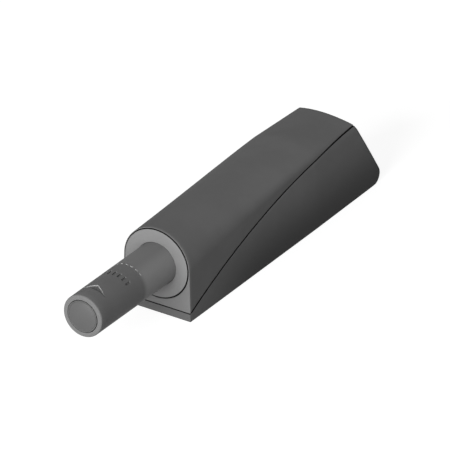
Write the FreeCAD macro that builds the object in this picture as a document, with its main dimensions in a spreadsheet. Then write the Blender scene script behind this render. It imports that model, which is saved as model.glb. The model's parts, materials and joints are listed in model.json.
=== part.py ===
import FreeCAD, Part
import math
import os
import re
import Sketcher

# Surface-mounted push latch with a magnetic pin.
# +Z is up from the mounting face, the pin points to -Y, X is across the housing.
# The origin lies in the mounting face, midway between the two screw holes.
# Places along Y are measured from the front face of the housing, towards the tail.

doc = FreeCAD.newDocument("TouchLatch")
sheet = doc.addObject("Spreadsheet::Sheet", "Sizes")

SIZES = {
    # Outer form of the housing
    "axis_height": 7.16,
    "tail_room": 8.4,
    "tail_slope_length": 16.8,
    "tail_lean": 32.4,
    "tail_rounding": 1.4,
    "rim_width": 0.12,
    "arch_flat": 0.06,
    "break_narrowing": 0.17,
    "rear_narrowing": 0.76,
    "foot_flare": 0.23,
    "rear_foot_narrowing": 0.48,
    "rear_corner_radius": 1.0,
    "break_corner_rise": 3.04,
    "rear_corner_rise": 2.96,
    "front_crown": 0.02,
    "break_crown": 0.85,
    "rear_crown": 0.38,
    "front_side_lean": 1.5,
    "rear_side_lean": 4.0,
    "corner_easing": 2.0,
    "rise_easing": 1.45,
    "outer_stations": 5,
    "inner_stations": 3,
    # Shells
    "shell_wall": 0.8,
    "front_wall": 1.5,
    "floor_thickness": 1.8,
    "parting_front_height": 1.1,
    "parting_rear_rise": 3.59,
    "parting_end_inset": 7.2,
    "parting_gap": 0.12,
    "rib_thickness": 1.0,
    "rib_side_gap": 0.1,
    "first_rib_place": 5.0,
    "rib_spacing": 10.0,
    "base_rib_count": 4,
    "cover_rib_count": 2,
    "rib_drop": 1.76,
    "locating_peg_radius": 0.45,
    "locating_peg_length": 1.6,
    "locating_peg_offset": 4.2,
    "locating_peg_place": 0.75,
    "locating_peg_clearance": 0.05,
    # Screw holes in the floor
    "screw_hole_radius": 1.7,
    "screw_head_radius": 3.0,
    # Front collar and barrel
    "disc_overhang": 0.77,
    "disc_proud": 0.1,
    "disc_thickness": 1.0,
    "disc_gap": 0.08,
    "collar_length": 6.3,
    "collar_wall": 0.43,
    "barrel_wall": 0.65,
    "end_clearance": 0.3,
    "barrel_tail_wall": 0.6,
    "rear_clearance": 1.2,
    "plug_flange": 1.4,
    "plug_spigot": 1.6,
    "plug_pin_radius": 0.4,
    "key_width": 0.8,
    "key_height": 0.3,
    "key_clearance": 0.1,
    # Sliding parts
    "stroke": 13.0,
    "overtravel": 0.6,
    "bumper_thickness": 0.6,
    "carriage_collar_gap": 0.1,
    "carriage_collar_length": 1.8,
    "carriage_skirt_wall": 0.35,
    "carriage_skirt_length": 12.0,
    "carriage_bore_gap": 0.23,
    "follower_wall": 0.53,
    "follower_pocket_depth": 2.4,
    "follower_gap": 0.1,
    "follower_length": 1.6,
    "peg_radius": 0.35,
    "retainer_thickness": 0.4,
    "retainer_gap": 0.18,
    "retainer_opening": 40.0,
    "seat_thickness": 0.3,
    "spring_inner_gap": 0.18,
    "spring_outer_gap": 0.12,
    "wire_radius": 0.25,
    "wire_sides": 6,
    "spring_turns": 11,
    "steps_per_turn": 12,
    "end_turn_gap": 0.04,
    # Cam rod
    "cam_radius": 1.32,
    "cam_lead": 2.7,
    "cam_tail_radius": 0.9,
    "track_depth": 0.45,
    "track_turn": 90.0,
    "track_clearance": 0.1,
    # Pin
    "pin_radius": 3.0,
    "pin_reach": 17.2,
    "pin_tail_place": 5.0,
    "pin_web": 1.5,
    "tip_rounding": 0.2,
    "spindle_wall": 0.4,
    "insert_wall": 0.38,
    "spindle_front_place": -9.0,
    "spindle_root": 2.0,
    "insert_length": 6.0,
    "detent_clearance": 0.05,
    "magnet_radius": 2.0,
    "magnet_length": 2.4,
    "magnet_recess": 0.12,
    "cup_wall": 0.25,
    "cup_gap": 0.08,
    # Marks on the pin
    "mark_depth": 0.15,
    "dash_place": 10.1,
    "dash_width": 0.22,
    "dash_pitch": 14.7,
    "dash_angle": 7.6,
    "marks_each_side": 3,
    "tick_place": 6.9,
    "tick_length": 1.0,
    "tick_angle": 5.0,
    "arrow_base": 2.4,
    "arrow_length": 1.2,
    "arrow_half_angle": 41.0,
    # Fits
    "running_clearance": 0.05,
    "seat_clearance": 0.02,
}

# Places and sizes that follow from the ones above.
DERIVED = {
    # Radii, from the cam rod outwards and from the pin outwards
    "follower_bore": "(cam_radius + follower_gap)",
    "follower_pocket_radius": "(follower_bore + follower_wall + running_clearance)",
    "retainer_bore": "(cam_radius + retainer_gap)",
    "carriage_bore": "(cam_radius + carriage_bore_gap)",
    "carriage_skirt_radius": "(follower_pocket_radius + carriage_skirt_wall)",
    "spring_radius": "(carriage_skirt_radius + spring_inner_gap + wire_radius)",
    "barrel_tail_bore": "(spring_radius + wire_radius + spring_outer_gap)",
    "barrel_tail_radius": "(barrel_tail_bore + barrel_tail_wall)",
    "spindle_radius": "(carriage_bore + spindle_wall)",
    "insert_bore": "(spindle_radius + running_clearance)",
    "insert_radius": "(insert_bore + insert_wall)",
    "pin_bore": "(insert_radius + seat_clearance)",
    "barrel_bore": "(collar_spigot_radius + seat_clearance)",
    "barrel_radius": "(barrel_bore + barrel_wall)",
    "carriage_collar_radius": "(barrel_bore - carriage_collar_gap)",
    "disc_radius": "(barrel_radius + disc_overhang)",
    # Outer form of the housing
    "front_half_width": "(disc_radius + disc_gap + rim_width)",
    "front_corner_radius": "(front_half_width - arch_flat)",
    "break_half_width": "(front_half_width - break_narrowing)",
    "rear_half_width": "(front_half_width - rear_narrowing)",
    "front_foot_half_width": "(front_half_width + foot_flare)",
    "rear_foot_half_width": "(front_half_width - rear_foot_narrowing)",
    "break_corner_height": "(axis_height + break_corner_rise)",
    "rear_corner_height": "(axis_height + rear_corner_rise)",
    "front_roof_height": "(axis_height + front_corner_radius + front_crown)",
    "break_roof_height": "(break_corner_height + rear_corner_radius + break_crown)",
    "rear_roof_height": "(rear_corner_height + rear_corner_radius + rear_crown)",
    "parting_rear_height": "(axis_height + parting_rear_rise)",
    "rib_top_height": "(axis_height - rib_drop)",
    "housing_length": "(plug_rear + tail_room)",
    "break_place": "(housing_length - tail_slope_length)",
    "parting_run": "(housing_length - parting_end_inset)",
    # Places of the screws
    "first_screw_place": "(first_rib_place + rib_thickness / 2 + rib_spacing / 2)",
    "screw_spacing": "(2 * rib_spacing)",
    "datum_place": "(first_screw_place + screw_spacing / 2)",
    # Places along the axis
    "disc_front": "(0 - disc_proud)",
    "disc_rear": "(disc_front + disc_thickness)",
    "collar_bore": "(pin_radius + running_clearance)",
    "collar_rear": "(disc_front + collar_length)",
    "collar_spigot_radius": "(collar_bore + collar_wall)",
    "bumper_rear": "(collar_rear + bumper_thickness)",
    "stop_rear": "(bumper_rear + carriage_collar_length)",
    "skirt_rear": "(stop_rear + carriage_skirt_length)",
    "seat_rear": "(stop_rear + seat_thickness)",
    "plug_front": "(skirt_rear + travel + rear_clearance)",
    "barrel_rear_place": "(plug_front + plug_spigot)",
    "plug_rear": "(barrel_rear_place + plug_flange)",
    "plug_pin_place": "(barrel_rear_place - plug_spigot / 2)",
    "plug_pin_half_length": "(barrel_tail_radius - 2 * running_clearance)",
    "pocket_front": "(skirt_rear - follower_pocket_depth)",
    "follower_front": "(pocket_front + running_clearance)",
    "follower_rear": "(follower_front + follower_length)",
    "follower_middle": "(follower_front + follower_length / 2)",
    "retainer_front": "(follower_rear + running_clearance)",
    "cam_front_place": "(follower_front - cam_lead)",
    "travel": "(stroke + overtravel)",
    "bore_step": "(stop_rear + travel + end_clearance)",
    "barrel_step_place": "(bore_step + barrel_radius - barrel_bore)",
    "detent_front": "(pin_tail_place + detent_clearance)",
    "detent_rear": "(collar_rear - detent_clearance)",
    "tip_place": "(0 - pin_reach)",
    "dash_front": "(tip_place + dash_place)",
    "dash_rear": "(dash_front + dash_width)",
    "tick_front": "(tip_place + tick_place)",
    "tick_rear": "(tick_front + tick_length)",
    "magnet_front": "(tip_place + magnet_recess)",
    "magnet_rear": "(magnet_front + magnet_length)",
    "cup_radius": "(magnet_radius + cup_gap + cup_wall)",
    "cup_rear": "(magnet_rear + cup_wall)",
    "pin_pocket_rear": "(cup_rear + seat_clearance)",
    "web_rear": "(pin_pocket_rear + pin_web)",
    "insert_rear": "(pin_tail_place - seat_clearance)",
    "insert_front": "(insert_rear - insert_length)",
}


def fill_sheet():
    """Write every driving size to the sheet, with its alias."""
    for row, (name, number) in enumerate(SIZES.items(), start=1):
        sheet.set("A%d" % row, name.replace("_", " "))
        sheet.set("B%d" % row, str(number))
        sheet.setAlias("B%d" % row, name)
    doc.recompute()


def sized(formula):
    """A formula of size names, written out in cells of the sheet."""
    def cell(match):
        word = match.group(0)
        if word in DERIVED:
            return sized(DERIVED[word])
        return "Sizes." + word if word in SIZES else word
    return re.sub(r"[a-z_]+", cell, formula)


def value(formula):
    """The present number of a formula of size names."""
    return float(sheet.evalExpression(sized(formula)))


def bind(item, prop, formula):
    """Tie a property of a document object to the sheet."""
    item.setExpression(prop, sized(formula))


def seat(item, height="axis_height"):
    """Place a sub-part in the frame of the part, its own Y axis at the given height."""
    item.Placement.Base = FreeCAD.Vector(0, -value("datum_place"), value(height))
    bind(item, "Placement.Base.y", "0 - datum_place")
    bind(item, "Placement.Base.z", height)


def new_body(name):
    body = doc.addObject("PartDesign::Body", name)
    body.Label = name
    seat(body)
    return body


def plane_of(body, role):
    return [item for item in body.Origin.OriginFeatures if item.Role == role][0]


def new_sketch(body, name, role="XY_Plane"):
    sketch = body.newObject("Sketcher::SketchObject", name)
    sketch.AttachmentSupport = [(plane_of(body, role), "")]
    sketch.MapMode = "FlatFace"
    return sketch


def hold(sketch, kind, items, formula):
    """Add one size to a sketch and tie it to the sheet."""
    number = sketch.addConstraint(Sketcher.Constraint(kind, *items, value(formula)))
    sketch.setExpression("Constraints[%d]" % number, sized(formula))


def draw_circle(sketch, across, along, radius):
    """A circle whose centre and radius are formulae."""
    centre = FreeCAD.Vector(value(across), value(along), 0)
    number = sketch.addGeometry(Part.Circle(centre, FreeCAD.Vector(0, 0, 1), value(radius)), False)
    hold(sketch, "DistanceX", (-1, 1, number, 3), across)
    hold(sketch, "DistanceY", (-1, 1, number, 3), along)
    hold(sketch, "Radius", (number,), radius)


def draw_polygon(sketch, corners):
    """A closed outline whose corners are pairs of formulae, each corner held by two sizes."""
    spots = [FreeCAD.Vector(value(across), value(along), 0) for across, along in corners]
    for start, end in zip(spots, spots[1:] + spots[:1]):
        sketch.addGeometry(Part.LineSegment(start, end), False)
    count = len(spots)
    for index in range(count):
        sketch.addConstraint(Sketcher.Constraint("Coincident", index, 2, (index + 1) % count, 1))
    for index, (across, along) in enumerate(corners):
        hold(sketch, "DistanceX", (-1, 1, index, 1), across)
        hold(sketch, "DistanceY", (-1, 1, index, 1), along)


def turned(name, corners, angle="360"):
    """A body of revolution about the pin axis, from corners given as radius and place."""
    body = new_body(name)
    sketch = new_sketch(body, name + "_outline")
    draw_polygon(sketch, corners)
    revolution = body.newObject("PartDesign::Revolution", name + "_turned")
    revolution.Profile = sketch
    revolution.ReferenceAxis = (sketch, ["V_Axis"])
    revolution.Angle = value(angle)
    bind(revolution, "Angle", angle)
    body.Tip = revolution
    return body


def ring(name, inner, outer, front, rear, angle="360"):
    """A plain ring or disc on the pin axis."""
    corners = [(inner, front), (outer, front), (outer, rear), (inner, rear)]
    return turned(name, corners, angle)


# Housing

def eased(front, rear, share, easing):
    return rear + (front - rear) * (1 - share) ** easing


def section_at(place):
    """The half section of the housing at one place, as named numbers."""
    turning = value("break_place")
    length = value("housing_length")
    share = min(place / turning, 1)
    behind = max(place - turning, 0) / (length - turning)

    def blend(front, middle, rear, easing=1.0):
        if place <= turning:
            return eased(value(front), value(middle), share, easing)
        return eased(value(middle), value(rear), behind, 1)

    corner_easing = value("corner_easing")
    radius = blend("front_corner_radius", "rear_corner_radius", "rear_corner_radius", corner_easing)
    height = blend("axis_height", "break_corner_height", "rear_corner_height", value("rise_easing"))
    roof = blend("front_roof_height", "break_roof_height", "rear_roof_height", corner_easing)
    return {
        "half_width": blend("front_half_width", "break_half_width", "rear_half_width"),
        "foot": eased(value("front_foot_half_width"), value("rear_foot_half_width"), place / length, 1),
        "corner_radius": radius,
        "corner_height": height,
        "roof_height": roof,
        "side_lean": blend("front_side_lean", "rear_side_lean", "rear_side_lean"),
    }


def arc_or_line(start, middle, end):
    chord = end.sub(start)
    bulge = middle.sub(start).cross(chord).Length / chord.Length
    if bulge < 1e-6:
        return Part.makeLine(start, end)
    return Part.Arc(start, middle, end).toShape()


def chain(*spots):
    return [Part.makeLine(start, end) for start, end in zip(spots, spots[1:])]


def section_wire(place, inset, floor):
    """Closed section: foot line, leaning sides, corners and a crowned roof.

    The outer skin has curved sides and rounded corners, the inner one is made of flats."""
    section = section_at(place)
    radius = section["corner_radius"] - inset
    lean = math.radians(section["side_lean"])
    centre_x = section["half_width"] - section["corner_radius"]
    centre_z = section["corner_height"]
    top = section["roof_height"] - inset
    rise = top - centre_z
    roof_radius = (centre_x ** 2 + rise ** 2 - radius ** 2) / (2 * (rise - radius))
    roof_turn = math.atan2(centre_x, centre_z - (top - roof_radius))

    def spot(x, z):
        return FreeCAD.Vector(x, place, z)

    def on_corner(turn):
        return centre_x + radius * math.cos(turn), centre_z + radius * math.sin(turn)

    foot = (section["foot"] - inset, floor)
    side_top = on_corner(lean)
    corner_top = on_corner(math.pi / 2 - roof_turn)
    corner_middle = on_corner((lean + math.pi / 2 - roof_turn) / 2)
    chord = math.hypot(side_top[0] - foot[0], side_top[1] - foot[1])
    chord_turn = math.atan2(foot[0] - side_top[0], side_top[1] - foot[1])
    bulge = chord / 2 * math.tan((lean - chord_turn) / 2)
    side_middle = (
        (foot[0] + side_top[0]) / 2 + bulge * math.cos(chord_turn),
        (foot[1] + side_top[1]) / 2 + bulge * math.sin(chord_turn),
    )

    def half(sign):
        def at(pair):
            return spot(sign * pair[0], pair[1])
        if inset:
            return chain(at(foot), at(side_top), at(corner_middle), at(corner_top))
        side = arc_or_line(at(foot), at(side_middle), at(side_top))
        corner = Part.Arc(at(side_top), at(corner_middle), at(corner_top)).toShape()
        return [side, corner]

    roof_ends = spot(*corner_top), spot(-corner_top[0], corner_top[1])
    roof = chain(*roof_ends)
    if not inset:
        roof = [Part.Arc(roof_ends[0], spot(0, top), roof_ends[1]).toShape()]
    bottom = chain(spot(-foot[0], floor), spot(foot[0], floor))
    return Part.Wire(bottom + half(1) + roof + half(-1)[::-1])


def lofted(inset, floor, front, stations):
    """The housing form from a front place to the tail, drawn in by an inset.

    It reaches a little below its floor, where a level cut then makes a true plane."""
    turning = value("break_place")
    steps = int(value(stations))
    below = floor - value("floor_thickness")
    places = [front + (turning - front) * step / steps for step in range(steps + 1)]
    places.append(value("housing_length") + inset)
    return Part.makeLoft([section_wire(place, inset, below) for place in places], True, True)


def side_solid(edges):
    """A solid as wide as needed across X, from an outline in the Y-Z plane."""
    width = 4 * value("front_half_width")
    face = Part.Face(Part.Wire(edges))
    face.translate(FreeCAD.Vector(-width / 2, 0, 0))
    return face.extrude(FreeCAD.Vector(width, 0, 0))


def side_spot(place, height):
    return FreeCAD.Vector(0, place, height)


def tail_limit(inset, floor):
    """Everything in front of the leaning tail, with its lower edge rounded."""
    lean = math.radians(value("tail_lean"))
    high = 2 * value("front_roof_height")
    foot = value("housing_length") - inset / math.cos(lean) - floor * math.tan(lean)
    radius = max(value("tail_rounding") - inset, value("shell_wall") / 2)
    reach = radius / math.tan((math.pi / 2 - lean) / 2)
    start = side_spot(foot - reach, floor)
    end = side_spot(foot - reach * math.sin(lean), floor + reach * math.cos(lean))
    centre = side_spot(foot - reach, floor + radius)
    turn = (math.pi / 2 + lean) / 2
    middle = centre.add(side_spot(radius * math.sin(turn), -radius * math.cos(turn)))
    top = side_spot(foot - (high - floor) * math.tan(lean), high)
    far = side_spot(-value("pin_reach"), high)
    near = side_spot(-value("pin_reach"), floor)
    return side_solid([
        Part.makeLine(near, start),
        Part.Arc(start, middle, end).toShape(),
        Part.makeLine(end, top),
        Part.makeLine(top, far),
        Part.makeLine(far, near),
    ])


def parting_solid(lift, upper):
    """What lies above or below the swept parting line."""
    low = value("parting_front_height") + lift
    high = value("parting_rear_height") + lift
    run = value("parting_run")
    far = 2 * value("housing_length")
    limit = 2 * value("front_roof_height") if upper else -value("front_roof_height")
    curve = Part.BezierCurve()
    curve.setPoles([side_spot(0, low), side_spot(run / 2, high), side_spot(run, high)])
    ahead = side_spot(-1, low)
    corners = [side_spot(run, high), side_spot(far, high), side_spot(far, limit),
               side_spot(-1, limit), ahead, side_spot(0, low)]
    edges = [curve.toShape()]
    edges += [Part.makeLine(start, end) for start, end in zip(corners, corners[1:])]
    return side_solid(edges)


def axis_cylinder(radius, front, rear):
    base = FreeCAD.Vector(0, front, value("axis_height"))
    return Part.makeCylinder(radius, rear - front, base, FreeCAD.Vector(0, 1, 0))


def barrel_room(clearance):
    """The space of the cartridge, with a clearance all round."""
    wide = axis_cylinder(value("barrel_radius") + clearance, value("disc_rear"),
                         value("barrel_step_place") + clearance)
    tail = axis_cylinder(value("barrel_tail_radius") + clearance, value("disc_rear"),
                         value("plug_rear") + clearance)
    disc = axis_cylinder(value("disc_radius") + value("disc_gap"), -1, value("disc_rear"))
    return disc.fuse([wide, tail])


def housing_form():
    return lofted(0, 0, 0, "outer_stations").common(tail_limit(0, 0))


def housing_cavity(inset, floor):
    form = lofted(inset, floor, value("front_wall"), "inner_stations")
    return form.common(tail_limit(inset, floor))


def slab(front, thickness, low, high):
    width = 4 * value("front_half_width")
    return Part.makeBox(width, thickness, high - low, FreeCAD.Vector(-width / 2, front, low))


def rib_places():
    count = int(value("base_rib_count"))
    return [value("first_rib_place") + value("rib_spacing") * step for step in range(count)]


def ribs(low, high, places, side_gap):
    """Cross ribs that hold the barrel, with a gap to the side walls."""
    thick = value("rib_thickness")
    room = housing_cavity(value("shell_wall") + side_gap, value("floor_thickness"))
    plates = [room.common(slab(place, thick, low, high)) for place in places]
    return [plate.cut(barrel_room(value("seat_clearance"))) for plate in plates]


def screw_holes():
    """Countersunk holes in the floor, on the centre line."""
    tools = []
    radius = value("screw_hole_radius")
    head = value("screw_head_radius")
    floor = value("floor_thickness")
    up = FreeCAD.Vector(0, 0, 1)
    for step in (0, 1):
        place = value("first_screw_place") + step * value("screw_spacing")
        spot = FreeCAD.Vector(0, place, -1)
        tools.append(Part.makeCylinder(radius, floor + 2, spot, up))
        sink = FreeCAD.Vector(0, place, floor - (head - radius))
        tools.append(Part.makeCone(radius, head, head - radius, sink, up))
    return tools


def locating_pegs(clearance):
    """Two pegs on the front edge of the floor, or their sockets when a clearance is given."""
    bottom = value("parting_front_height") / 2
    top = value("parting_front_height") + value("locating_peg_length") + clearance
    pegs = []
    for side in (-1, 1):
        spot = FreeCAD.Vector(side * value("locating_peg_offset"), value("locating_peg_place"), bottom)
        pegs.append(Part.makeCylinder(value("locating_peg_radius") + clearance, top - bottom, spot))
    return pegs


def shell_feature(name, shape):
    feature = doc.addObject("Part::Feature", name)
    feature.Label = name
    feature.Shape = shape.removeSplitter()
    seat(feature, "0")
    return feature


def make_shells():
    """The two shells of the housing, cut from one form along the parting line."""
    hollow = housing_form().cut([
        housing_cavity(value("shell_wall"), value("floor_thickness")),
        barrel_room(value("running_clearance")),
    ])
    floor = value("floor_thickness")
    high = value("front_roof_height")
    stop_place = value("plug_rear + seat_clearance")
    gap = value("rib_side_gap")
    saddles = ribs(floor, value("rib_top_height"), rib_places(), gap)
    stop = ribs(floor, value("axis_height"), [stop_place], gap)
    base = hollow.common(parting_solid(0, False)).fuse(saddles + stop + locating_pegs(0))
    base = base.cut(screw_holes())
    upper = parting_solid(value("parting_gap"), True)
    bridges = ribs(value("rib_top_height"), high, rib_places()[-int(value("cover_rib_count")):], 0)
    cover = hollow.common(upper).fuse([bridge.common(upper) for bridge in bridges])
    cover = cover.cut(locating_pegs(value("locating_peg_clearance")))
    return shell_feature("base_shell", base), shell_feature("cover_shell", cover)


# Cartridge

def make_front_collar():
    return turned("front_collar", [
        ("collar_bore", "disc_front"),
        ("disc_radius", "disc_front"),
        ("disc_radius", "disc_rear"),
        ("collar_spigot_radius", "disc_rear"),
        ("collar_spigot_radius", "collar_rear"),
        ("collar_bore", "collar_rear"),
    ])


def make_barrel():
    body = turned("cartridge_barrel", [
        ("barrel_bore", "disc_rear"),
        ("barrel_radius", "disc_rear"),
        ("barrel_radius", "barrel_step_place"),
        ("barrel_tail_radius", "barrel_step_place"),
        ("barrel_tail_radius", "barrel_rear_place"),
        ("barrel_tail_bore", "barrel_rear_place"),
        ("barrel_tail_bore", "bore_step"),
        ("barrel_bore", "bore_step"),
    ])
    # A key along the bore keeps the carriage from turning.
    key = new_sketch(body, "key_outline")
    draw_polygon(key, [
        ("0 - key_width / 2", "collar_rear"),
        ("key_width / 2", "collar_rear"),
        ("key_width / 2", "bore_step"),
        ("0 - key_width / 2", "bore_step"),
    ])
    pad = body.newObject("PartDesign::Pad", "key")
    pad.Profile = key
    pad.Type = "Length"
    bind(pad, "Length", "(barrel_radius + barrel_bore) / 2")
    body.Tip = pad
    core = new_sketch(body, "key_relief_outline", "XZ_Plane")
    draw_circle(core, "0", "0", "barrel_bore - key_height")
    relief = body.newObject("PartDesign::Pocket", "key_relief")
    relief.Profile = core
    relief.Type = "Length"
    bind(relief, "Length", "bore_step")
    body.Tip = relief
    return cross_hole(body)


def cross_hole(body):
    """The hole of the plug's cross pin."""
    sketch = new_sketch(body, body.Name + "_pin_hole_outline")
    draw_circle(sketch, "0", "plug_pin_place", "plug_pin_radius + seat_clearance / 2")
    hole = body.newObject("PartDesign::Pocket", body.Name + "_pin_hole")
    hole.Profile = sketch
    hole.Type = "Length"
    hole.Midplane = True
    bind(hole, "Length", "4 * barrel_tail_radius")
    body.Tip = hole
    return body


def make_plug_pin():
    """Cross pin through the barrel, the plug and the tail of the cam rod."""
    pin = doc.addObject("Part::Cylinder", "plug_pin")
    pin.Label = "plug_pin"
    bind(pin, "Radius", "plug_pin_radius")
    bind(pin, "Height", "2 * plug_pin_half_length")
    bind(pin, "Placement.Base.y", "plug_pin_place - datum_place")
    bind(pin, "Placement.Base.z", "axis_height - plug_pin_half_length")
    return pin


def make_rear_plug():
    spigot = "barrel_tail_bore - seat_clearance"
    bore = "cam_tail_radius + seat_clearance"
    body = turned("rear_plug", [
        (bore, "plug_front"),
        (spigot, "plug_front"),
        (spigot, "barrel_rear_place"),
        ("barrel_tail_radius", "barrel_rear_place"),
        ("barrel_tail_radius", "plug_rear"),
        (bore, "plug_rear"),
    ])
    return cross_hole(body)


def track_section(share, width, inner, outer):
    """Rectangle across the track, turned with the share of the travel."""
    place = value("follower_middle") + share * value("stroke")
    turn = math.radians(value("track_turn")) * share
    across = FreeCAD.Vector(math.cos(turn), 0, -math.sin(turn))
    out = FreeCAD.Vector(math.sin(turn), 0, math.cos(turn))
    centre = FreeCAD.Vector(0, place, 0)
    spots = []
    for side, radius in ((-1, inner), (1, inner), (1, outer), (-1, outer), (-1, inner)):
        spot = centre.add(across * (side * width / 2))
        spots.append(spot.add(out * radius))
    return Part.makePolygon(spots)


def make_cam_rod():
    """Fixed rod with the helical track in which the follower's peg runs."""
    front = value("cam_front_place")
    shoulder = value("plug_front")
    forward = FreeCAD.Vector(0, 1, 0)
    rod = Part.makeCylinder(value("cam_radius"), shoulder - front,
                            FreeCAD.Vector(0, front, 0), forward)
    tail = Part.makeCylinder(value("cam_tail_radius"), value("plug_rear") - shoulder,
                             FreeCAD.Vector(0, shoulder, 0), forward)
    width = 2 * (value("peg_radius") + value("track_clearance"))
    margin = (value("peg_radius") + value("track_clearance")) / value("stroke")
    end = 1 + value("overtravel") / value("stroke") + margin
    steps = 8
    shares = [-margin + (end + margin) * step / steps for step in range(steps + 1)]
    inner = value("cam_radius") - value("track_depth")
    outer = value("cam_radius") + value("track_depth")
    track = Part.makeLoft([track_section(share, width, inner, outer) for share in shares], True)
    reach = value("barrel_tail_radius")
    pin_hole = Part.makeCylinder(value("plug_pin_radius + seat_clearance / 2"), 2 * reach,
                                 FreeCAD.Vector(0, value("plug_pin_place"), -reach))
    feature = doc.addObject("Part::Feature", "cam_rod")
    feature.Label = "cam_rod"
    feature.Shape = rod.fuse(tail).cut([track, pin_hole]).removeSplitter()
    seat(feature)
    return feature


# Carriage

def make_carriage():
    root = "spindle_radius + seat_clearance"
    root_rear = "bumper_rear + spindle_root"
    body = turned("carriage", [
        (root, "bumper_rear"),
        ("carriage_collar_radius", "bumper_rear"),
        ("carriage_collar_radius", "stop_rear"),
        ("carriage_skirt_radius", "stop_rear"),
        ("carriage_skirt_radius", "skirt_rear"),
        ("follower_pocket_radius", "skirt_rear"),
        ("follower_pocket_radius", "pocket_front"),
        ("carriage_bore", "pocket_front"),
        ("carriage_bore", root_rear),
        (root, root_rear),
    ])
    return keyway(body)


def keyway(body):
    """A slot through the rim, over the key of the barrel."""
    half = "key_width / 2 + key_clearance"
    floor = "barrel_bore - key_height - key_clearance"
    above = "2 * barrel_bore"
    sketch = new_sketch(body, body.Name + "_keyway_outline", "XZ_Plane")
    draw_polygon(sketch, [
        ("0 - (%s)" % half, floor), (half, floor), (half, above), ("0 - (%s)" % half, above)])
    slot = body.newObject("PartDesign::Pocket", body.Name + "_keyway")
    slot.Profile = sketch
    slot.Type = "Length"
    bind(slot, "Length", "stop_rear + end_clearance")
    body.Tip = slot
    return body


def make_spindle():
    return ring("carriage_spindle", "carriage_bore", "spindle_radius",
                "spindle_front_place", "bumper_rear + spindle_root - seat_clearance")


def make_follower():
    body = ring("follower_ring", "follower_bore", "follower_pocket_radius - running_clearance",
                "follower_front", "follower_rear")
    sketch = new_sketch(body, "peg_hole_outline", "XY_Plane")
    draw_circle(sketch, "0", "follower_middle", "peg_radius + seat_clearance / 2")
    hole = body.newObject("PartDesign::Pocket", "peg_hole")
    hole.Profile = sketch
    hole.Type = "Length"
    hole.Reversed = True
    bind(hole, "Length", "follower_pocket_radius")
    body.Tip = hole
    return body


def make_peg():
    """Steel peg through the follower ring, pointing in to the track."""
    peg = doc.addObject("Part::Cylinder", "follower_peg")
    peg.Label = "follower_peg"
    inner = "cam_radius - track_depth + track_clearance"
    bind(peg, "Radius", "peg_radius")
    bind(peg, "Height", "follower_pocket_radius - 2 * running_clearance - (%s)" % inner)
    bind(peg, "Placement.Base.y", "follower_middle - datum_place")
    bind(peg, "Placement.Base.z", "axis_height + " + inner)
    return peg


def coil_spots():
    """Points along the wire's middle, with one closed turn at each end."""
    turns = int(value("spring_turns"))
    steps = int(value("steps_per_turn"))
    low = value("seat_rear + wire_radius")
    high = value("plug_front - wire_radius")
    end_pitch = value("2 * wire_radius + end_turn_gap")
    pitch = (high - low - 2 * end_pitch) / (turns - 2)
    radius = value("spring_radius")
    spots = []
    for step in range(turns * steps + 1):
        turn = step / steps
        middle = min(max(turn - 1, 0), turns - 2)
        place = low + pitch * middle + end_pitch * (turn - middle)
        angle = 2 * math.pi * turn
        spots.append(FreeCAD.Vector(radius * math.cos(angle), place, radius * math.sin(angle)))
    return spots


def wire_corners(spots):
    """Rings of corners round the wire, one in each mitred joint."""
    sides = int(value("wire_sides"))
    runs = [end.sub(start).normalize() for start, end in zip(spots, spots[1:])]
    across = FreeCAD.Vector(spots[0].x, 0, spots[0].z).normalize()
    up = runs[0].cross(across).normalize()
    across = up.cross(runs[0])
    ring_now = []
    for side in range(sides):
        angle = 2 * math.pi * (side + 0.5) / sides
        out = across * math.cos(angle) + up * math.sin(angle)
        ring_now.append(spots[0].add(out * value("wire_radius")))
    rings = [ring_now]
    for index, run in enumerate(runs):
        mitre = run.add(runs[index + 1]) if index + 1 < len(runs) else run
        joint = spots[index + 1]
        ring_now = [spot.add(run * (joint.sub(spot).dot(mitre) / run.dot(mitre))) for spot in ring_now]
        rings.append(ring_now)
    return rings


def make_spring():
    """Ejector spring between its seat and the rear plug, its wire in short straight runs."""
    rings = wire_corners(coil_spots())
    sides = len(rings[0])
    faces = [Part.Face(Part.makePolygon(ring_end + ring_end[:1])) for ring_end in (rings[0], rings[-1])]
    for near, far in zip(rings, rings[1:]):
        for side in range(sides):
            beside = (side + 1) % sides
            faces.append(Part.Face(Part.makePolygon(
                [near[side], near[beside], far[beside], far[side], near[side]])))
    feature = doc.addObject("Part::Feature", "ejector_spring")
    feature.Label = "ejector_spring"
    feature.Shape = Part.makeSolid(Part.makeShell(faces))
    seat(feature)
    return feature


# Pin

def make_pin_tube():
    tube = turned("pin_tube", [
        ("cup_radius + seat_clearance", "tip_place"),
        ("pin_radius - tip_rounding", "tip_place"),
        ("pin_radius", "tip_place + tip_rounding"),
        ("pin_radius", "pin_tail_place"),
        ("pin_bore", "pin_tail_place"),
        ("pin_bore", "web_rear"),
        ("0", "web_rear"),
        ("0", "pin_pocket_rear"),
        ("cup_radius + seat_clearance", "pin_pocket_rear"),
    ])
    engrave_row(tube, "dash", "dash_front", "dash_rear", "dash_angle")
    engrave_row(tube, "tick", "tick_front", "tick_rear", "tick_angle")
    engrave_arrow(tube)
    return tube


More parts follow.
